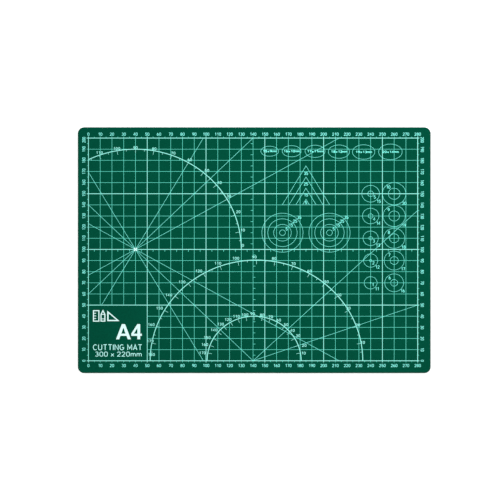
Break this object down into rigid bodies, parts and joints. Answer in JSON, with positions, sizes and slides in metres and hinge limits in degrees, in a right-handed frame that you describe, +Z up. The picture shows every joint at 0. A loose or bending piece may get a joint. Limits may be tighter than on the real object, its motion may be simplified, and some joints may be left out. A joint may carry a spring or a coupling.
{
  "type": "self-healing cutting mat",
  "caption": "Flat A4 self-healing cutting mat with rounded corners and a printed centimetre grid, protractors, angle lines and shape templates.",
  "frame": {"origin": "middle of the underside, where the mat rests on a table", "axes": "+X along the long side, to the right of someone reading the print; +Y along the short side, away from that reader; +Z up, out of the printed face"},
  "size_m": [0.3, 0.22, 0.003],
  "materials": {
    "cutting_vinyl": "matte, finely pebbled soft vinyl, deep bottle green",
    "core_vinyl": "matte rigid vinyl, darker green, seen only at the cut edge",
    "printed_ink": "matte screen-printed ink, pale mint white"
  },
  "bodies": {
    "root": {"lower_cutting_sheet": "cutting_vinyl", "core_sheet": "core_vinyl", "upper_cutting_sheet": "cutting_vinyl", "printed_main_grid": "printed_ink"}
  },
  "joints": []
}
